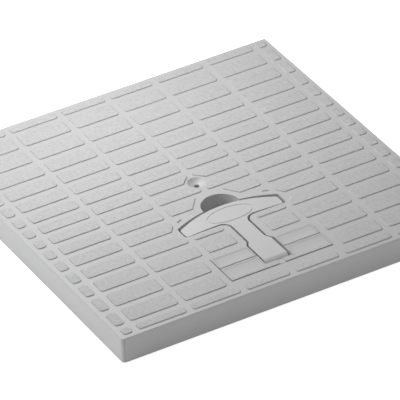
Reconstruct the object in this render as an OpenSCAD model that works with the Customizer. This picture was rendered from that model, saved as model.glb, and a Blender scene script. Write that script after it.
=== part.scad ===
// Square access cover with raised tread tiles and a fold-up T handle.
// The origin is on the plane of the skirt's rim, under the middle of the cover. +Z is up, and the
// handle's foot lies towards -Y.

/* [Plate and skirt] */
// Side of the square cover
lid_w = 400; // [394:1:416]
// Height from the skirt's rim to the tops of the tiles
lid_h = 29.5; // [29.5:0.5:36]
// Thickness of the plate under the channels
deck_t = 3.2; // [2.6:0.1:4]
// Thickness of the skirt
skirt_t = 3.6; // [3:0.1:5]
// Radius of the four upright corners
corner_r = 4; // [3:0.5:8]
// Radius of the rounding along the top edge
edge_r = 1.4; // [0.6:0.1:2]

/* [Stiffening ribs] */
// Number of ribs each way
rib_count = 9; // [9:2:11]
// Thickness of a rib
rib_t = 2.4; // [2:0.1:3]
// Height of the ribs' feet above the skirt's rim
rib_lift = 3; // [1:0.5:4]

/* [Tread tiles] */
// How far the tiles stand above the channels between them
tile_h = 1; // [0.6:0.1:1]
// Width of the channels
channel_w = 6.8; // [5:0.1:8]
// Radius of a tile's corners
tile_r = 3; // [1.5:0.1:4]
// Width of the plain border round the tiles
border_w = 5.6; // [4:0.1:7]

/* [Screw hole] */
// Radius of the dish round the screw hole, at channel level
dish_r = 9.8; // [8:0.1:11]
// Depth of the dish
dish_depth = 4.8; // [4:0.1:6]
// Radius of the screw hole
screw_r = 3; // [2.5:0.1:3.5]
// Radius of the boss round the screw hole
boss_r = 8; // [8:0.5:12]

/* [Handle] */
// Half the length of the crossbar
bar_half = 56.8; // [52:0.1:57]
// Radius of the crossbar's curved back edge
bar_back_r = 119.8; // [110:0.1:130]
// Half the width of the stem
stem_half = 9.4; // [8:0.1:10]
// Half the width of the foot
foot_half = 13.4; // [12:0.1:14]
// Radius of the fillet between crossbar and stem
fillet_r = 11.2; // [9:0.1:13]
// Radius of the crossbar's corners
bar_corner_r = 3; // [1:0.1:4]
// Gap between the handle and its pocket
gap = 2.4; // [1.8:0.1:2.6]
// Radius of the crossbar's domed top, along its length
dome_r = 826; // [600:1:1200]
// Thickness of the handle's outer walls
handle_wall = 2.4; // [2:0.1:3]

/* [Finger bowl] */
// Radius of the bowl that fingers reach into
bowl_r = 21; // [18:0.1:22]
// Radius of the rounding at the bowl's floor
bowl_floor_r = 6; // [3:0.5:8]

/* [Hinge] */
// Radius of the hinge pin
pin_r = 3; // [2.5:0.1:3]
// Half the length of the hinge pin
pin_half = 34; // [30:0.5:36]
// Radial clearance between the pin and the handle's bore
pin_clear = 0.05; // [0.02:0.01:0.1]
// Depth of the hinge axis below the channels
hinge_depth = 9.5; // [9.2:0.1:9.8]
// Radius of the barrel at the end of the foot
barrel_r = 9.9; // [9:0.1:10]
// Radius of the hub that keeps the foot from sliding along the pin
hub_r = 6; // [5:0.1:7]
// Side play of the hub between the pocket's walls
hub_play = 0.3; // [0.2:0.1:0.6]

/* [Keeper plate] */
// Half the width of the keeper plate
keeper_half = 58.5; // [56:0.1:60]
// Thickness of the plate below the channels' level
keeper_t = 4; // [3:0.1:5]
// Clearance round the keeper plate in its recess
keeper_clear = 0.6; // [0.3:0.1:0.8]
// Depth of the dished recesses in its top
dimple_depth = 0.9; // [0.4:0.1:1.2]

/* [Hidden] */
$fn = 96;

// Levels, measured from the rim, most of them set by their depth below the channels
deck_z = lid_h - tile_h;
ceiling_z = deck_z - deck_t;
bowl_floor_z = deck_z - 21.5;
well_floor_z = deck_z - 20.5;
pocket_floor_z = deck_z - 14;
core_top_z = deck_z - 4.1;
hinge_z = deck_z - hinge_depth;
handle_base_z = pocket_floor_z + 1;
stem_top_z = hinge_z + barrel_r;
crown_z = stem_top_z - 0.05;
recess_z = deck_z - keeper_t;
tub_t = 2.4;
slot_half = foot_half + gap;
hub_half = slot_half - hub_play;

// Places along Y, where the handle lies at rest
bar_front_y = -78.8;
bar_back_y = -50.9;
bar_back_centre_y = bar_back_y - bar_back_r;
shoulder_y = -121;
foot_y = -128;
hinge_y = -154.5;
well_half = 11.2;
well_front_y = hinge_y - well_half;
well_back_y = hinge_y + well_half;
keeper_back_y = -128.2;
keeper_front_y = -172.5;
keeper_mid_y = -148.2;
bowl_y = -49.7;

// Pitch of the channels, from the middle outwards
column_pitch = [57, 61.8, 61.7];
row_pitch = [21.6, 22.8, 24.2, 25.7, 27.2, 29.6, 29.6];
corner_steps = 3;

// Places where the tiles stop short of the screw hole, the bowl, the handle and the keeper
screw_margin_r = 16.5;
bowl_margin_back_x = 13.1;
bowl_margin_front_x = 30.4;
bar_back_margin = 6.3;
bar_front_margin = 3.6;
bar_side_margin = 7.4;
side_cut = 7;
islet_x = 47.4;
side_tile_cut_y = [-53, -65.5];
stem_margin_x = 19.5;
keeper_margin_x = 66.7;

// The keeper's hooks, and the seats of the hinge pin
hook_x = 50;
hook_w = 8;
hook_t = 2.2;
hook_barb = 1.2;
hook_inset = 4;
hook_reach = 4.6;
slot_play = 0.4;
slot_drop = 8;
barb_play = 0.1;
hook_back_y = keeper_back_y - hook_inset;
hook_front_y = keeper_front_y + hook_inset;
tray_t = 3.2;
seat_end = 38;
seat_half = 7;
seat_drop = 8;
seat_fit = 0.02;
pin_end_play = 0.2;
tongue_w = 5.2;
tongue_end = 14;

// The ledges that the crossbar's ends rest on
ledge_x = 44;
ledge_w = 6;
ledge_inset = 4;
ledge_rise = 0.8;

// The n-th channel line out from the middle
function channel_at(pitch, n) = n == 0 ? 0 : channel_at(pitch, n - 1) + pitch[n - 1];

// Points of an arc, from one angle to another
function arc(centre, r, from, to, steps) = [
    for (i = [0 : steps])
        let (a = from + (to - from) * i / steps)
            [centre.x + r * cos(a), centre.y + r * sin(a)]
];

// A rectangle with rounded corners, given by two opposite corners
function rounded_points(low, high, r, steps) = concat(
    arc([high.x - r, high.y - r], r, 0, 90, steps),
    arc([low.x + r, high.y - r], r, 90, 180, steps),
    arc([low.x + r, low.y + r], r, 180, 270, steps),
    arc([high.x - r, low.y + r], r, 270, 360, steps)
);

function mirrored(points) = [for (i = [len(points) - 1 : -1 : 0]) [-points[i].x, points[i].y]];

// The height of the crossbar's back edge at a distance from the middle, grown outwards
function back_edge_y(x, grow) = bar_back_centre_y + sqrt(pow(bar_back_r + grow, 2) - x * x);

module both_sides() {
    children();
    mirror([1, 0, 0]) children();
}

// Crossbar outline, grown outwards by the given amount
module bar_plan(grow) {
    end_x = bar_half + grow;
    front_y = bar_front_y - grow;
    corner_r = bar_corner_r;
    back_r = bar_back_r + grow;
    tip_y = back_edge_y(end_x - corner_r, grow) - corner_r;
    tip_angle = asin((end_x - corner_r) / back_r);
    half = concat(
        arc([end_x - corner_r, front_y + corner_r], corner_r, -90, 0, 6),
        arc([end_x - corner_r, tip_y], corner_r, 0, 90 - tip_angle, 6),
        arc([0, bar_back_centre_y], back_r, 90 - tip_angle + 2, 90, 14)
    );
    polygon(concat(half, mirrored(half)));
}

// Stem and foot outline, from inside the crossbar to the foot's end, grown outwards
module stem_plan(grow, end_y) {
    fillet_x = stem_half + fillet_r;
    fillet_y = bar_front_y - fillet_r;
    half = concat(
        [[foot_half + grow, end_y], [foot_half + grow, foot_y], [stem_half + grow, shoulder_y]],
        arc([fillet_x, fillet_y], fillet_r - grow, 180, 90, 10),
        [[fillet_x, bar_front_y - grow + 1]]
    );
    polygon(concat(half, mirrored(half)));
}

// The block that the cover is moulded in, with rounded corners and top edge
module outer_block() {
    half = lid_w / 2;
    profile = concat(
        [[half, 0]],
        arc([half - edge_r, deck_z - edge_r], edge_r, 0, 90, 4),
        mirrored(arc([half - edge_r, deck_z - edge_r], edge_r, 0, 90, 4)),
        [[-half, 0]]
    );
    intersection() {
        linear_extrude(deck_z)
            polygon(rounded_points([-half, -half], [half, half], corner_r, 6));
        translate([0, lid_w, 0]) rotate([90, 0, 0])
            linear_extrude(2 * lid_w) polygon(profile);
        translate([-lid_w, 0, 0]) rotate([90, 0, 90])
            linear_extrude(2 * lid_w) polygon(profile);
    }
}

module inner_hollow() {
    half = lid_w / 2 - skirt_t;
    translate([0, 0, -1]) linear_extrude(ceiling_z + 1)
        polygon(rounded_points([-half, -half], [half, half], corner_r, 6));
}

// Ribs under the plate, both ways, a little inside the skirt's wall at their ends
module rib_grid() {
    span = lid_w - 1.2 * skirt_t;
    pitch = (lid_w - 2 * skirt_t) / (rib_count + 1);
    last = (rib_count - 1) / 2;
    for (i = [-last : last]) {
        translate([i * pitch - rib_t / 2, -span / 2, rib_lift])
            cube([rib_t, span, ceiling_z + 1 - rib_lift]);
        translate([-span / 2, i * pitch - rib_t / 2, rib_lift])
            cube([span, rib_t, ceiling_z + 1 - rib_lift]);
    }
}

// One tile. A narrow tile gets smaller corners, so that its ends stay flat
module tile(low, high) {
    r = min(tile_r, (high.y - low.y) / 2 - 0.2);
    translate([0, 0, deck_z - 1]) linear_extrude(tile_h + 1)
        polygon(rounded_points(low, high, r, corner_steps));
}

// Rows of tiles that the stem and the keeper run through, counted from the middle to the front
function beside_stem(c, r) = c == 0 && (r == 3 || r == 4);
function under_keeper(c, r) = c == 0 && (r == 5 || r == 6);
function beside_keeper(c, r) = c == 1 && (r == 5 || r == 6);

function tile_low_x(c, r, front) =
    front && beside_stem(c, r) ? stem_margin_x
    : front && beside_keeper(c, r) ? keeper_margin_x
    : channel_at(column_pitch, c) + channel_w / 2;

function tile_low_y(c, r, front) =
    front && c == 0 && r == 3 ? gap + bar_front_margin - bar_front_y
    : channel_at(row_pitch, r) + channel_w / 2;

// One quarter of the tiles, the narrow border tiles included
module tile_quarter(front) {
    field = lid_w / 2 - border_w;
    columns = len(column_pitch);
    rows = len(row_pitch);
    for (c = [0 : columns], r = [0 : rows])
        if (!(front && under_keeper(c, r))) {
            x_end = c == columns ? field : channel_at(column_pitch, c + 1) - channel_w / 2;
            y_end = r == rows ? field : channel_at(row_pitch, r + 1) - channel_w / 2;
            tile([tile_low_x(c, r, front), tile_low_y(c, r, front)], [x_end, y_end]);
        }
}

// The clear field round the bowl and the crossbar, from the middle outwards and to the front
module clear_field() {
    side_x = bar_half + gap + bar_side_margin;
    front_y = bar_front_y - gap - bar_front_margin;
    back_r = bar_back_r + gap + bar_back_margin;
    islet_end_x = column_pitch[0];
    half = concat(
        [
            [bowl_margin_back_x, -channel_at(row_pitch, 1)],
            [bowl_margin_front_x, -channel_at(row_pitch, 2)],
            [islet_x, -channel_at(row_pitch, 2)]
        ],
        arc([0, bar_back_centre_y], back_r, acos(islet_x / back_r), acos(islet_end_x / back_r), 2),
        [
            [islet_end_x, side_tile_cut_y[0]],
            [side_x, side_tile_cut_y[1]],
            [side_x, front_y + side_cut],
            [side_x - side_cut, front_y]
        ]
    );
    translate([0, 0, deck_z]) linear_extrude(5) polygon(concat(half, mirrored(half)));
}

module tread_tiles() {
    difference() {
        both_sides() {
            tile_quarter(false);
            mirror([0, 1, 0]) tile_quarter(true);
        }
        translate([0, 0, deck_z]) cylinder(h = 5, r = screw_margin_r, $fn = 4);
        clear_field();
    }
}

// The bowl that fingers reach into, grown outwards, with a rounded floor
module bowl(grow, top_z) {
    floor_z = bowl_floor_z - grow;
    r = bowl_r + grow;
    round_r = bowl_floor_r + grow;
    translate([0, bowl_y, 0]) rotate_extrude()
        polygon(concat(
            [[0, floor_z]],
            arc([r - round_r, floor_z + round_r], round_r, -90, 0, 8),
            [[r, top_z], [0, top_z]]
        ));
}

// The T-shaped pocket, or with a bigger growth the tub of walls round it
module handle_tub(grow, floor_z, top_z) {
    translate([0, 0, floor_z]) linear_extrude(top_z - floor_z) {
        bar_plan(grow);
        stem_plan(grow, well_front_y - (grow - gap));
    }
}

// The deeper well that the foot's barrel turns in
module barrel_well(wall, top_z) {
    half = slot_half + wall;
    translate([-half, well_front_y - wall, well_floor_z - wall])
        cube([2 * half, well_back_y - well_front_y + 2 * wall, top_z - well_floor_z + wall]);
}

module keeper_outline(grow) {
    translate([-keeper_half - grow, keeper_front_y - grow])
        square([2 * (keeper_half + grow), keeper_back_y - keeper_front_y + 2 * grow]);
}

// The four places of the keeper's hooks. Each child is drawn with its barb towards +Y.
module at_hooks() {
    for (side = [-1, 1]) {
        translate([side * hook_x, hook_back_y, 0]) children();
        translate([side * hook_x, hook_front_y, 0]) mirror([0, 1, 0]) children();
    }
}

// What the pocket, bowl, seats and boss add under the plate
module underside_walls() {
    handle_tub(gap + tub_t, pocket_floor_z - tub_t, ceiling_z + 1);
    bowl(tub_t, ceiling_z + 1);
    barrel_well(tub_t, ceiling_z + 1);
    translate([0, 0, recess_z - tray_t]) linear_extrude(ceiling_z + 1 - recess_z + tray_t)
        keeper_outline(keeper_clear + tub_t);
    translate([-seat_end, hinge_y - seat_half, hinge_z - seat_drop])
        cube([2 * seat_end, 2 * seat_half, recess_z - hinge_z + seat_drop - 1]);
    translate([0, 0, rib_lift]) cylinder(h = ceiling_z - rib_lift + 1, r = boss_r);
}

// Everything that is cut from the top
module top_cuts() {
    over = lid_h + 5;
    handle_tub(gap, pocket_floor_z, over);
    bowl(0, over);
    barrel_well(0, over);
    translate([0, 0, recess_z]) linear_extrude(over - recess_z) keeper_outline(keeper_clear);
    // Slots that the keeper's hooks snap through
    at_hooks()
        translate([-hook_w / 2 - slot_play, -hook_t / 2 - hook_barb - barb_play, recess_z - slot_drop])
            cube([hook_w + 2 * slot_play, hook_t + hook_barb + 2.5 * barb_play, slot_drop + 1]);
    // Open-topped seats for the hinge pin
    pin_slot(pin_r + seat_fit, pin_half + pin_end_play, recess_z + 1);
    // Dish and hole for the holding-down screw
    dish_sphere_r = (dish_r * dish_r + dish_depth * dish_depth) / (2 * dish_depth);
    translate([0, 0, deck_z - dish_depth + dish_sphere_r]) sphere(r = dish_sphere_r);
    translate([0, 0, -1]) cylinder(h = deck_z, r = screw_r);
}

// A slot with a round bottom on the hinge axis
module pin_slot(r, half, top_z) {
    translate([-half, hinge_y, hinge_z]) rotate([0, 90, 0]) cylinder(h = 2 * half, r = r);
    translate([-half, hinge_y - r, hinge_z]) cube([2 * half, 2 * r, top_z - hinge_z]);
}

// Ledges in the pocket's floor that the crossbar's ends come down on
module rest_ledges() {
    both_sides() translate([ledge_x, bar_front_y + ledge_inset, pocket_floor_z - 1])
        cube([ledge_w, ledge_w, 1 + ledge_rise]);
}

module cover() {
    color([0.76, 0.76, 0.77]) {
        difference() {
            union() {
                difference() {
                    outer_block();
                    inner_hollow();
                }
                rib_grid();
                underside_walls();
                tread_tiles();
            }
            top_cuts();
        }
        rest_ledges();
    }
}

// The domed surface over the whole handle, lowered by the given amount
module dome(lower) {
    translate([0, 0, crown_z - dome_r]) rotate([90, 0, 0])
        cylinder(h = 400, r = dome_r - lower, $fn = 720);
}

module bar_block() {
    translate([0, 0, handle_base_z]) linear_extrude(20) bar_plan(0);
}

// Stem and foot seen from the side, with the barrel at the end
module stem_block() {
    drop = hinge_z - handle_base_z;
    back_angle = asin(drop / barrel_r);
    side = concat(
        [[bar_front_y + 1, handle_base_z], [bar_front_y + 1, stem_top_z]],
        arc([hinge_y, hinge_z], barrel_r, 90, 360 - back_angle, 30)
    );
    intersection() {
        translate([-50, 0, 0]) rotate([90, 0, 90]) linear_extrude(100) polygon(side);
        linear_extrude(lid_h + 5) stem_plan(0, hinge_y - barrel_r - 1);
    }
}

// Hollows moulded up into the handle's underside, with ribs left between them
module handle_cores() {
    core_end_y = hinge_y + barrel_r + 3;
    rib = 2;
    bar_rib_pitch = 16;
    stem_rib_pitch = 14;
    first_rib = 3;
    difference() {
        translate([0, 0, handle_base_z - 1]) linear_extrude(core_top_z - handle_base_z + 1) {
            bar_plan(-handle_wall);
            stem_plan(-handle_wall, core_end_y);
        }
        for (i = [-2.5 : 2.5])
            translate([i * bar_rib_pitch - rib / 2, bar_front_y, 0])
                cube([rib, bar_back_y - bar_front_y, lid_h]);
        for (i = [0 : 3])
            translate([-foot_half, bar_front_y - first_rib - i * stem_rib_pitch - rib / 2, 0])
                cube([2 * foot_half, rib, lid_h]);
    }
}

// Thin oval line sunk in the handle's top round its bare badge field
module badge_line() {
    line_w = 1.3;
    line_depth = 0.5;
    centre_y = -68.1;
    half_x = 26.6;
    half_y = 12.5;
    steps = 72;
    difference() {
        translate([0, centre_y, crown_z - 3]) linear_extrude(5) difference() {
            polygon(ellipse_points(half_x, half_y, steps));
            polygon(ellipse_points(half_x - line_w, half_y - line_w, steps));
        }
        dome(line_depth);
    }
}

function ellipse_points(a, b, steps) =
    [for (i = [0 : steps - 1]) [a * cos(360 * i / steps), b * sin(360 * i / steps)]];

module handle() {
    color([0.75, 0.75, 0.76]) difference() {
        union() {
            intersection() {
                union() {
                    bar_block();
                    stem_block();
                }
                dome(0);
            }
            translate([-hub_half, hinge_y, hinge_z]) rotate([0, 90, 0])
                cylinder(h = 2 * hub_half, r = hub_r);
        }
        handle_cores();
        badge_line();
        translate([-slot_half, hinge_y, hinge_z]) rotate([0, 90, 0])
            cylinder(h = 2 * slot_half, r = pin_r + pin_clear);
    }
}

module keeper_blank() {
    difference() {
        translate([0, 0, recess_z]) linear_extrude(lid_h - recess_z) keeper_outline(0);
        translate([-slot_half, well_front_y, recess_z - 1])
            cube([2 * slot_half, keeper_back_y - well_front_y + 1, lid_h]);
        // The middle channel of the tread runs on across the front strip
        translate([-channel_w / 2, keeper_front_y - 1, deck_z])
            cube([channel_w, well_front_y - keeper_front_y + 2, lid_h]);
    }
}

// Long shallow hollow with its axis along X, cut down from the tile tops
module dimple(x_from, x_to, y_from, y_to) {
    half = (y_to - y_from) / 2;
    r = (half * half + dimple_depth * dimple_depth) / (2 * dimple_depth);
    translate([x_from, (y_from + y_to) / 2, lid_h - dimple_depth + r]) rotate([0, 90, 0])
        cylinder(h = x_to - x_from, r = r, $fn = 240);
}

// A leg with a sloping barb, hanging from the plate
module hook() {
    floor_z = recess_z - tray_t;
    points = [
        [-hook_t / 2, recess_z + 1],
        [hook_t / 2, recess_z + 1],
        [hook_t / 2, floor_z - barb_play],
        [hook_t / 2 + hook_barb, floor_z - barb_play],
        [hook_t / 2, floor_z - hook_reach + 1],
        [-hook_t / 2, floor_z - hook_reach + 1]
    ];
    translate([-hook_w / 2, 0, 0]) rotate([90, 0, 90]) linear_extrude(hook_w) polygon(points);
}

module keeper() {
    dimple_from_x = slot_half + 2;
    dimple_to_x = keeper_half - 2.2;
    back_tread_y = [keeper_mid_y + 1.8, keeper_back_y - 1.6];
    front_tread_y = [keeper_front_y + 3, keeper_mid_y - 2];
    line_w = 1.1;
    line_depth = 0.7;
    color([0.76, 0.76, 0.77]) difference() {
        union() {
            keeper_blank();
            at_hooks() hook();
            // Tongues that hold the pin down in its seats
            both_sides()
                translate([slot_half + 1, hinge_y - tongue_w / 2, hinge_z + pin_r + seat_fit])
                    cube([tongue_end, tongue_w, recess_z - hinge_z - pin_r + 1]);
        }
        both_sides() {
            dimple(dimple_from_x, dimple_to_x, back_tread_y[0], back_tread_y[1]);
            dimple(dimple_from_x, dimple_to_x, front_tread_y[0], front_tread_y[1]);
            // Narrow line between the two treads of each arm
            translate([slot_half - 1, keeper_mid_y - line_w / 2, lid_h - line_depth])
                cube([keeper_half, line_w, 5]);
        }
    }
}

module hinge_pin() {
    color([0.7, 0.7, 0.72])
        translate([-pin_half, hinge_y, hinge_z]) rotate([0, 90, 0])
            cylinder(h = 2 * pin_half, r = pin_r);
}

cover();
handle();
keeper();
hinge_pin();
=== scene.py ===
# %% [markdown]
# # Access cover with a fold-up T handle
# This lesson dresses a square plastic chamber cover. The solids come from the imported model: the cover
# moulding, the T handle, the keeper plate over its hinge, and the hinge pin. They could be modelled
# again in Blender, but then the two models would drift apart, so every visible piece starts as a copy
# of its solid. Here it gets soft edges and a finish, and then studio light on a pale floor.

# %% Load the frame
import math

import bmesh
import bpy
from mathutils import Euler, Matrix, Vector


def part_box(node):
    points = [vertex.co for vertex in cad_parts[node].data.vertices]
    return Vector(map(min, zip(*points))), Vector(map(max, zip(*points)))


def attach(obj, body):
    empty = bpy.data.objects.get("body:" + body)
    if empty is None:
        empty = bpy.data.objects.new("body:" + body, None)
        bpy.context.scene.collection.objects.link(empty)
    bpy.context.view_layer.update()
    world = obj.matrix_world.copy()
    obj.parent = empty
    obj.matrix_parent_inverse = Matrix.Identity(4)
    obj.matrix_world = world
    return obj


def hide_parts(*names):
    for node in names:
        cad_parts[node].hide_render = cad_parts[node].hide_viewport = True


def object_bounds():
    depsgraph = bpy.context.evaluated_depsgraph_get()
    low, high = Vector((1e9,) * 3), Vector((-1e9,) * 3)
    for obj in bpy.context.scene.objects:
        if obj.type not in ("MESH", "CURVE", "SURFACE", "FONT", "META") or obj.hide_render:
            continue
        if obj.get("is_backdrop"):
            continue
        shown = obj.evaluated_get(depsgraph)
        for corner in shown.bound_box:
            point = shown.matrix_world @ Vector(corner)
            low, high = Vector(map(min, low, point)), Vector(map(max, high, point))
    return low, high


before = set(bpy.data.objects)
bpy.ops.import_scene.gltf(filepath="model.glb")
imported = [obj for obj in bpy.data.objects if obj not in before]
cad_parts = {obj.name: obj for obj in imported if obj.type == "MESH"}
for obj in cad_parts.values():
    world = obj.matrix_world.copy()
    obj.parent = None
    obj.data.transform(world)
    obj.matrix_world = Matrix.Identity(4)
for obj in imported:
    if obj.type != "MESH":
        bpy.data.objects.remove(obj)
cad_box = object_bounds()

# %% [markdown]
# ## Levels of the tread
# The tread has two levels: the tops of the tiles, and the smooth channels a little lower. The finish
# changes between them. The heights could be typed in, but a typed number would be wrong as soon as
# the solid changed, so the upper one comes from the cover's own box.

# %% Levels
cover_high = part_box("cover")[1]
tile_top = cover_high.z
tile_height = 0.001
near = 0.1 * tile_height
print(f"tile tops at {tile_top:.4f} m, channels {tile_height * 1000:.1f} mm lower")


# %% [markdown]
# ## Node helpers
# A material can be wired by hand in the shader editor. In a script the same few moves come back all
# the time, so each has a helper. One starts a node group with its sockets, one places a group in a
# material, one adds a step of arithmetic, and one adds a noise.

# %% Node helpers
def new_group(name, inputs, outputs):
    group = bpy.data.node_groups.new(name, "ShaderNodeTree")
    for label, kind, value in inputs:
        socket = group.interface.new_socket(label, in_out="INPUT", socket_type=kind)
        socket.default_value = value
    for label, kind in outputs:
        group.interface.new_socket(label, in_out="OUTPUT", socket_type=kind)
    start = group.nodes.new("NodeGroupInput")
    end = group.nodes.new("NodeGroupOutput")
    return group, start, end


def place_group(tree, group):
    node = tree.nodes.new("ShaderNodeGroup")
    node.node_tree = group
    return node


def add_math(tree, operation, first, second, third=None):
    node = tree.nodes.new("ShaderNodeMath")
    node.operation = operation
    for socket, value in zip(node.inputs, (first, second, third)):
        if value is None:
            continue
        if isinstance(value, (int, float)):
            socket.default_value = value
        else:
            tree.links.new(value, socket)
    return node.outputs[0]


def add_noise(tree, vector, scale, detail, roughness=0.55):
    node = tree.nodes.new("ShaderNodeTexNoise")
    node.inputs["Scale"].default_value = scale
    node.inputs["Detail"].default_value = detail
    node.inputs["Roughness"].default_value = roughness
    tree.links.new(vector, node.inputs["Vector"])
    return node.outputs["Fac"]


print("node helpers: four")

# %% [markdown]
# ## Moulded grain
# A textured mould leaves fine, even bumps on the plastic, with a softer unevenness under them. A
# picture of such a surface could drive the bump, but two noises need no file, show no seam and stay
# fine from close by. The group only gives a height, and each material says how much of it it wants.

# %% Grain group
fine_scale = 1400.0
coarse_scale = 420.0


def make_grain_group():
    group, start, end = new_group(
        "moulded grain",
        [("Fine", "NodeSocketFloat", 1.0), ("Coarse", "NodeSocketFloat", 1.0)],
        [("Height", "NodeSocketFloat")],
    )
    place = group.nodes.new("ShaderNodeTexCoord").outputs["Object"]
    fine = add_noise(group, place, fine_scale, 2.0)
    coarse = add_noise(group, place, coarse_scale, 3.0)
    fine = add_math(group, "MULTIPLY", fine, start.outputs["Fine"])
    coarse = add_math(group, "MULTIPLY", coarse, start.outputs["Coarse"])
    total = add_math(group, "ADD", fine, coarse)
    group.links.new(total, end.inputs["Height"])
    return group


grain_group = make_grain_group()
print("group:", grain_group.name)

# %% [markdown]
# ## Slow tone and speckle
# A large moulding is never one flat shade. It changes slowly where the plastic flowed and cooled, and
# a textured face looks speckled, because its pits hold a little shade. This could be painted by hand,
# but noise does it evenly and gives the same picture each time. The group multiplies a colour by a
# broad and a patchy noise, and by a fine one for the speckle.

# %% Tone group
broad_scale = 9.0
patch_scale = 60.0
speckle_scale = 300.0


def make_tone_group():
    group, start, end = new_group(
        "slow tone",
        [
            ("Colour", "NodeSocketColor", (0.5, 0.5, 0.5, 1.0)),
            ("Depth", "NodeSocketFloat", 0.04),
            ("Speckle", "NodeSocketFloat", 0.0),
        ],
        [("Colour", "NodeSocketColor")],
    )
    place = group.nodes.new("ShaderNodeTexCoord").outputs["Object"]
    broad = add_noise(group, place, broad_scale, 2.0)
    patch = add_noise(group, place, patch_scale, 3.0)
    both = add_math(group, "ADD", broad, patch)
    centred = add_math(group, "SUBTRACT", both, 1.0)
    change = add_math(group, "MULTIPLY_ADD", centred, start.outputs["Depth"], 1.0)
    speck = add_math(group, "SUBTRACT", add_noise(group, place, speckle_scale, 2.0), 0.5)
    change = add_math(group, "MULTIPLY_ADD", speck, start.outputs["Speckle"], change)
    scale = group.nodes.new("ShaderNodeVectorMath")
    scale.operation = "SCALE"
    group.links.new(start.outputs["Colour"], scale.inputs[0])
    group.links.new(change, scale.inputs["Scale"])
    group.links.new(scale.outputs[0], end.inputs["Colour"])
    return group


tone_group = make_tone_group()
print("group:", tone_group.name)

# %% [markdown]
# ## The moulded plastic
# One pale grey plastic makes the cover, the keeper and the handle. On the tile tops the mould was
# textured, and in the channels it was polished. Two materials on chosen faces could show this, but
# the walls between them are tiny, so one material asks how high a point lies. At the tile tops it
# turns the grain, the speckle and the roughness up. The channels get a slightly lighter colour than
# the tile tops, and that is a painted sheen of their polish. The handle is smooth all over, so both of
# its finishes are the same, and its copy of the plastic is lighter, which is painted light on it.

# %% Plastic material
tone_depth = 0.05
grain_height = 0.001


def plastic_material(
    name, colour, tile_colour, roughness, tile_roughness, smooth_grain, tile_grain, tile_speckle
):
    material = bpy.data.materials.new(name)
    material.use_nodes = True
    tree = material.node_tree
    shader = tree.nodes["Principled BSDF"]
    place = tree.nodes.new("ShaderNodeTexCoord").outputs["Object"]
    split = tree.nodes.new("ShaderNodeSeparateXYZ")
    tree.links.new(place, split.inputs[0])
    on_tile = tree.nodes.new("ShaderNodeMapRange")
    on_tile.inputs["From Min"].default_value = tile_top - 3 * near
    on_tile.inputs["From Max"].default_value = tile_top - near
    tree.links.new(split.outputs["Z"], on_tile.inputs["Value"])
    mask = on_tile.outputs["Result"]

    # Where the two colours differ, the lighter channel colour is a painted sheen of the polish.
    painted_sheen_mix = tree.nodes.new("ShaderNodeMix")
    painted_sheen_mix.data_type = "RGBA"
    painted_sheen_mix.inputs["A"].default_value = (*colour, 1.0)
    painted_sheen_mix.inputs["B"].default_value = (*tile_colour, 1.0)
    tree.links.new(mask, painted_sheen_mix.inputs["Factor"])
    tone = place_group(tree, tone_group)
    tone.inputs["Depth"].default_value = tone_depth
    tree.links.new(add_math(tree, "MULTIPLY", mask, tile_speckle), tone.inputs["Speckle"])
    tree.links.new(painted_sheen_mix.outputs["Result"], tone.inputs["Colour"])
    tree.links.new(tone.outputs["Colour"], shader.inputs["Base Color"])

    gloss = add_math(tree, "MULTIPLY_ADD", mask, tile_roughness - roughness, roughness)
    tree.links.new(gloss, shader.inputs["Roughness"])

    grain = place_group(tree, grain_group)
    depth = add_math(tree, "MULTIPLY_ADD", mask, tile_grain - smooth_grain, smooth_grain)
    height = add_math(tree, "MULTIPLY", grain.outputs["Height"], depth)
    bump = tree.nodes.new("ShaderNodeBump")
    bump.inputs["Strength"].default_value = 1.0
    bump.inputs["Distance"].default_value = grain_height
    tree.links.new(height, bump.inputs["Height"])
    tree.links.new(bump.outputs["Normal"], shader.inputs["Normal"])
    return material


cover_plastic = plastic_material(
    "cover plastic",
    # The channel colour is lighter than the tile colour by a painted sheen of the polish.
    colour=(0.575, 0.575, 0.58),
    tile_colour=(0.56, 0.56, 0.565),
    roughness=0.42,
    tile_roughness=0.6,
    smooth_grain=0.04,
    tile_grain=0.35,
    tile_speckle=0.4,
)
# The handle's colour is lighter than the cover's. It is the same plastic, so this is painted light on
# the handle.
handle_plastic_painted_lighter = plastic_material(
    "handle plastic painted lighter",
    colour=(0.62, 0.62, 0.625),
    tile_colour=(0.62, 0.62, 0.625),
    roughness=0.45,
    tile_roughness=0.45,
    smooth_grain=0.05,
    tile_grain=0.05,
    tile_speckle=0.0,
)
print("materials:", cover_plastic.name, handle_plastic_painted_lighter.name)

# %% [markdown]
# ## The pin's steel
# The pin is cut from drawn rod, and the die leaves fine lines along it. They could be modelled as
# grooves, but they are far too fine for that. A noise that is stretched along X makes the bump
# instead, and the roughness wanders a little with the same lines.

# %% Steel material
line_scale = (20.0, 1500.0, 1500.0)
least_roughness = 0.25
roughness_change = 0.2
line_height = 0.0002


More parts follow.
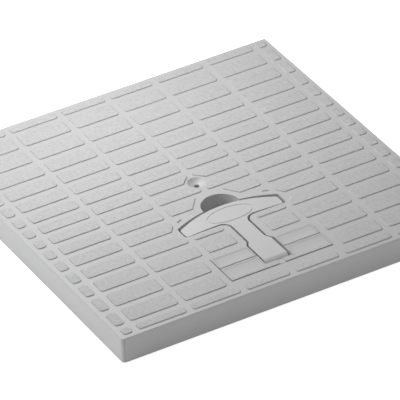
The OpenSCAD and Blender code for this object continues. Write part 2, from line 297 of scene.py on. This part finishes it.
def steel_material():
    material = bpy.data.materials.new("drawn steel")
    material.use_nodes = True
    tree = material.node_tree
    shader = tree.nodes["Principled BSDF"]
    shader.inputs["Base Color"].default_value = (0.6, 0.6, 0.62, 1.0)
    shader.inputs["Metallic"].default_value = 1.0
    place = tree.nodes.new("ShaderNodeTexCoord").outputs["Object"]
    stretch = tree.nodes.new("ShaderNodeMapping")
    stretch.inputs["Scale"].default_value = line_scale
    tree.links.new(place, stretch.inputs["Vector"])
    lines = add_noise(tree, stretch.outputs["Vector"], 1.0, 2.0)
    gloss = add_math(tree, "MULTIPLY_ADD", lines, roughness_change, least_roughness)
    tree.links.new(gloss, shader.inputs["Roughness"])
    bump = tree.nodes.new("ShaderNodeBump")
    bump.inputs["Strength"].default_value = 0.3
    bump.inputs["Distance"].default_value = line_height
    tree.links.new(lines, bump.inputs["Height"])
    tree.links.new(bump.outputs["Normal"], shader.inputs["Normal"])
    return material


pin_steel = steel_material()
print("material:", pin_steel.name)

# %% [markdown]
# ## The cover: a clean copy
# The loaded solid is made of loose triangles, and a bevel can't follow those. The plate could be
# modelled again from a cube, but the solid already has every tile in its place. So a copy is merged,
# and the triangles that lie in one plane are joined into whole faces. The copy stands for the node,
# which stays in the model for the motion.

# %% Copy the cover
merge_distance = 0.000005
flat_within = math.radians(0.6)


def select_only(piece):
    if bpy.context.object and bpy.context.object.mode != "OBJECT":
        bpy.ops.object.mode_set(mode="OBJECT")
    bpy.ops.object.select_all(action="DESELECT")
    piece.select_set(True)
    bpy.context.view_layer.objects.active = piece


def merged_copy(node, name):
    piece = bpy.data.objects.new(name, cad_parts[node].data.copy())
    bpy.context.scene.collection.objects.link(piece)
    select_only(piece)
    bpy.ops.object.mode_set(mode="EDIT")
    bpy.ops.mesh.select_all(action="SELECT")
    bpy.ops.mesh.remove_doubles(threshold=merge_distance)
    bpy.ops.mesh.dissolve_limited(angle_limit=flat_within)
    bpy.ops.object.mode_set(mode="OBJECT")
    print(f"{name}: {len(piece.data.polygons)} whole faces")
    return piece


cover_skin = merged_copy("cover", "cover_moulding")

# %% [markdown]
# ## The cover: soft edges
# A mould can't leave a knife edge. The tile edges are what the eye reads first on this object, and
# their dark lines in the photo ask for a radius of 0.9 mm. The lower rim gets a smaller one. A Bevel
# modifier would round every edge by the same amount, also between the thin walls of the pocket. So
# the edges are chosen by their height and bevelled in edit mode.

# %% Round the cover's edges
outer_from = math.radians(28)
tile_radius = 0.0009
rim_radius = 0.0004


def select_outer_edges(piece, accepts):
    select_only(piece)
    bpy.ops.object.mode_set(mode="EDIT")
    bpy.ops.mesh.select_mode(type="EDGE")
    bpy.ops.mesh.select_all(action="DESELECT")
    mesh = bmesh.from_edit_mesh(piece.data)
    count = 0
    for edge in mesh.edges:
        if len(edge.link_faces) != 2 or not edge.is_convex:
            continue
        if edge.calc_face_angle() < outer_from:
            continue
        if accepts(edge):
            edge.select = True
            count += 1
    bmesh.update_edit_mesh(piece.data)
    return count


def round_edges(piece, accepts, radius, segments):
    count = select_outer_edges(piece, accepts)
    if count:
        bpy.ops.mesh.bevel(offset=radius, segments=segments, profile=0.5, clamp_overlap=True)
    bpy.ops.object.mode_set(mode="OBJECT")
    print(f"{piece.name}: {count} edges rounded to {radius * 1000:.2f} mm")


def at_height(height):
    return lambda edge: all(abs(vertex.co.z - height) < near for vertex in edge.verts)


round_edges(cover_skin, at_height(tile_top), tile_radius, segments=3)
round_edges(cover_skin, at_height(0.0), rim_radius, segments=2)

# %% [markdown]
# ## The cover: shading
# Round edges and curved walls have to shade smoothly, while flat faces stay flat. Smooth shading by
# angle alone leaves pale patches beside the pocket. So every face is made smooth, the edges that stay
# sharp are marked, and a Weighted Normal modifier lets the large faces decide how the light turns
# over the narrow ones beside them.

# %% Shade the cover
sharp_from = math.radians(40)
face_area_weight = 100


def smooth(piece):
    select_only(piece)
    bpy.ops.object.shade_smooth()
    bpy.ops.object.mode_set(mode="EDIT")
    bpy.ops.mesh.select_mode(type="EDGE")
    bpy.ops.mesh.select_all(action="DESELECT")
    bpy.ops.mesh.edges_select_sharp(sharpness=sharp_from)
    bpy.ops.mesh.mark_sharp()
    bpy.ops.object.mode_set(mode="OBJECT")
    weighted = piece.modifiers.new("flat faces stay flat", "WEIGHTED_NORMAL")
    weighted.weight = face_area_weight
    weighted.keep_sharp = True
    bpy.ops.object.modifier_apply(modifier=weighted.name)
    sharp = sum(edge.use_edge_sharp for edge in piece.data.edges)
    print(f"{piece.name}: {sharp} sharp edges")


smooth(cover_skin)

# %% [markdown]
# ## The cover: plastic and body
# The finished copy gets its material, the solid it stands for is hidden, and it is hung on the body
# that carries it when the handle moves. The same four lines could stand under every piece, but one
# helper makes sure that none of them is forgotten.

# %% Dress the cover
def dress(piece, material, node, body):
    piece.data.materials.clear()
    piece.data.materials.append(material)
    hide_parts(node)
    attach(piece, body)
    triangles = sum(len(face.vertices) - 2 for face in piece.data.polygons)
    print(f"{piece.name}: {triangles} triangles")


dress(cover_skin, cover_plastic, "cover", "cover")

# %% [markdown]
# ## The handle
# A hand pulls on this part, so the outline of its top is much rounder than the cover's edges. The
# thin oval line in its top keeps its crisp edges. Height alone can't tell the two apart, so a formula
# leaves out the edges that lie inside the oval.

# %% Handle
handle_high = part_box("handle")[1]
handle_radius = 0.0014
crown_depth = 0.004
upward = 0.9
oval_middle = -0.0681
oval_reach = (0.028, 0.0135)


def outside_oval(point):
    across = point.x / oval_reach[0]
    along = (point.y - oval_middle) / oval_reach[1]
    return across * across + along * along > 1.0


def is_top_outline(edge):
    middle = (edge.verts[0].co + edge.verts[1].co) / 2
    faces_up = max(face.normal.z for face in edge.link_faces) > upward
    return faces_up and middle.z > handle_high.z - crown_depth and outside_oval(middle)


handle_skin = merged_copy("handle", "handle_moulding")
round_edges(handle_skin, is_top_outline, handle_radius, segments=4)
smooth(handle_skin)
dress(handle_skin, handle_plastic_painted_lighter, "handle", "handle")

# %% [markdown]
# ## The keeper plate
# The keeper is a separate small moulding of the same plastic, which snaps in over the hinge. It could
# share the cover's mesh, but as a piece of its own it keeps a true seam all round. Its edges are
# nearly sharp, because it sits flush between the tiles.

# %% Keeper
keeper_radius = 0.0003
keeper_skin = merged_copy("keeper", "keeper_plate")
round_edges(keeper_skin, at_height(tile_top), keeper_radius, segments=2)
smooth(keeper_skin)
dress(keeper_skin, cover_plastic, "keeper", "cover")


# %% [markdown]
# ## The hinge pin
# The pin only shows when the handle is up. A new cylinder would do, but the solid's copy already has
# its length and its place. Its ends are rounded, so that it drops into its seats.

# %% Pin
def any_edge(edge):
    return True


pin_radius = 0.0006
pin_skin = merged_copy("hinge_pin", "hinge_rod")
round_edges(pin_skin, any_edge, pin_radius, segments=2)
smooth(pin_skin)
dress(pin_skin, pin_steel, "hinge_pin", "cover")

# %% [markdown]
# ## Floor
# The cover lies on a plain pale floor. More light would make the floor white, but it would also bleach
# the plastic. So the floor glows a little for the camera, and for rays that were reflected or came
# through glass. It reads as white there, and it keeps the soft shadow of the cover.

# %% Floor
floor_shade = 0.8
floor_glow = 0.8
floor_size = 30.0
floor_gap = 0.0002


def floor_material():
    material = bpy.data.materials.new("studio floor")
    material.use_nodes = True
    tree = material.node_tree
    shader = tree.nodes["Principled BSDF"]
    shader.inputs["Base Color"].default_value = (floor_shade, floor_shade, floor_shade, 1.0)
    shader.inputs["Roughness"].default_value = 0.9
    shader.inputs["Emission Color"].default_value = (1.0, 1.0, 1.0, 1.0)
    rays = tree.nodes.new("ShaderNodeLightPath").outputs
    seen = add_math(tree, "MAXIMUM", rays["Is Camera Ray"], rays["Is Glossy Ray"])
    seen = add_math(tree, "MAXIMUM", seen, rays["Is Transmission Ray"])
    glow = add_math(tree, "MULTIPLY", seen, floor_glow)
    tree.links.new(glow, shader.inputs["Emission Strength"])
    return material


bpy.ops.object.select_all(action="DESELECT")
bpy.ops.mesh.primitive_plane_add(size=floor_size, location=(0.0, 0.0, -floor_gap))
floor = bpy.context.object
floor.name = "studio_floor"
floor.data.materials.append(floor_material())
floor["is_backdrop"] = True
print("floor:", floor.name)

# %% [markdown]
# ## World
# An even pale world stands for the white walls of a studio. It alone would light the cover, but from
# all sides alike, and the relief would go flat. So it is weak, and only keeps the gaps round the
# handle from going black.

# %% World
world_strength = 0.32

world = bpy.data.worlds.new("studio air")
bpy.context.scene.world = world
world.use_nodes = True
air = world.node_tree.nodes["Background"]
air.inputs["Color"].default_value = (1.0, 1.0, 1.0, 1.0)
air.inputs["Strength"].default_value = world_strength
print("world:", world.name)

# %% [markdown]
# ## Lamps
# The photo is lit from the left and a little behind: the top and the left side are bright, and the
# front side is in half shade. One big lamp could come near that, but then the far end of the top and
# the front side can't both be right. So there are three. The lamp over the back lights the far end of
# the top, the large sheet at the back left lights the left side and draws the edges of the tiles, and
# the low sheet in front fills the front side. Their strengths come from comparing plain spots of the
# render with the same spots of the photo.

# %% Lamps
middle = (0.0, 0.0, 0.0)


def area_lamp(name, power, size, place, target):
    data = bpy.data.lights.new(name, "AREA")
    data.energy = power
    data.size = size
    lamp = bpy.data.objects.new(name, data)
    lamp.location = place
    lamp.visible_camera = False
    lamp.rotation_euler = (Vector(place) - Vector(target)).to_track_quat("Z", "Y").to_euler()
    bpy.context.scene.collection.objects.link(lamp)
    return lamp


back_lamp = area_lamp(
    "lamp over the back", power=1.87, size=0.25, place=(-0.07, 0.245, 0.5), target=middle
)
left_sheet = area_lamp(
    "sheet at the back left", power=18.0, size=1.0, place=(-1.9, 0.75, 1.25), target=middle
)
low_sheet = area_lamp(
    "low sheet in front", power=1.1, size=0.25, place=(0.25, -1.6, 0.14), target=middle
)
print("lamps:", back_lamp.name, left_sheet.name, low_sheet.name)

# %% [markdown]
# ## Camera
# A long lens stands five metres off, in front and to the left, and looks down at 34 degrees. It is
# rolled a little, because the photo's upright edges lean to the left. A camera can be matched by eye,
# but this one was fitted to the grid of the tile edges, so that the two pictures lie on each other.

# %% Camera
view_target = Vector((-0.0136, -0.0318, 0.0292))
view_distance = 5.102
view_turn = math.radians(-28.595)
view_height = math.radians(34.0)
view_roll = math.radians(-2.643)

camera_data = bpy.data.cameras.new("photo camera")
camera_data.sensor_width = 36.0
camera_data.lens = 450.98
camera_data.shift_x = -0.00125
camera_data.shift_y = 0.00125
camera_data.clip_end = 100.0
camera = bpy.data.objects.new("photo camera", camera_data)
bpy.context.scene.collection.objects.link(camera)
turn = Euler((math.pi / 2 - view_height, 0.0, view_turn)).to_matrix()
turn = turn @ Matrix.Rotation(view_roll, 3, "Z")
camera.matrix_world = Matrix.LocRotScale(view_target + turn @ Vector((0, 0, view_distance)), turn, None)
bpy.context.scene.camera = camera
bpy.context.scene.view_settings.view_transform = "Standard"
print("camera at", [round(value, 4) for value in camera.location])

# %% [markdown]
# ## Finish
# The box of the solids and the box of the dressed model are written out, so that they can be
# compared. This could be done by eye, but a piece that slipped by a millimetre doesn't show in a
# picture.

# %% Finish
final_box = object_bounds()
for label, box in (("solids", cad_box), ("dressed model", final_box)):
    print(f"size of the {label} in metres:", [round(high - low, 4) for low, high in zip(*box)])
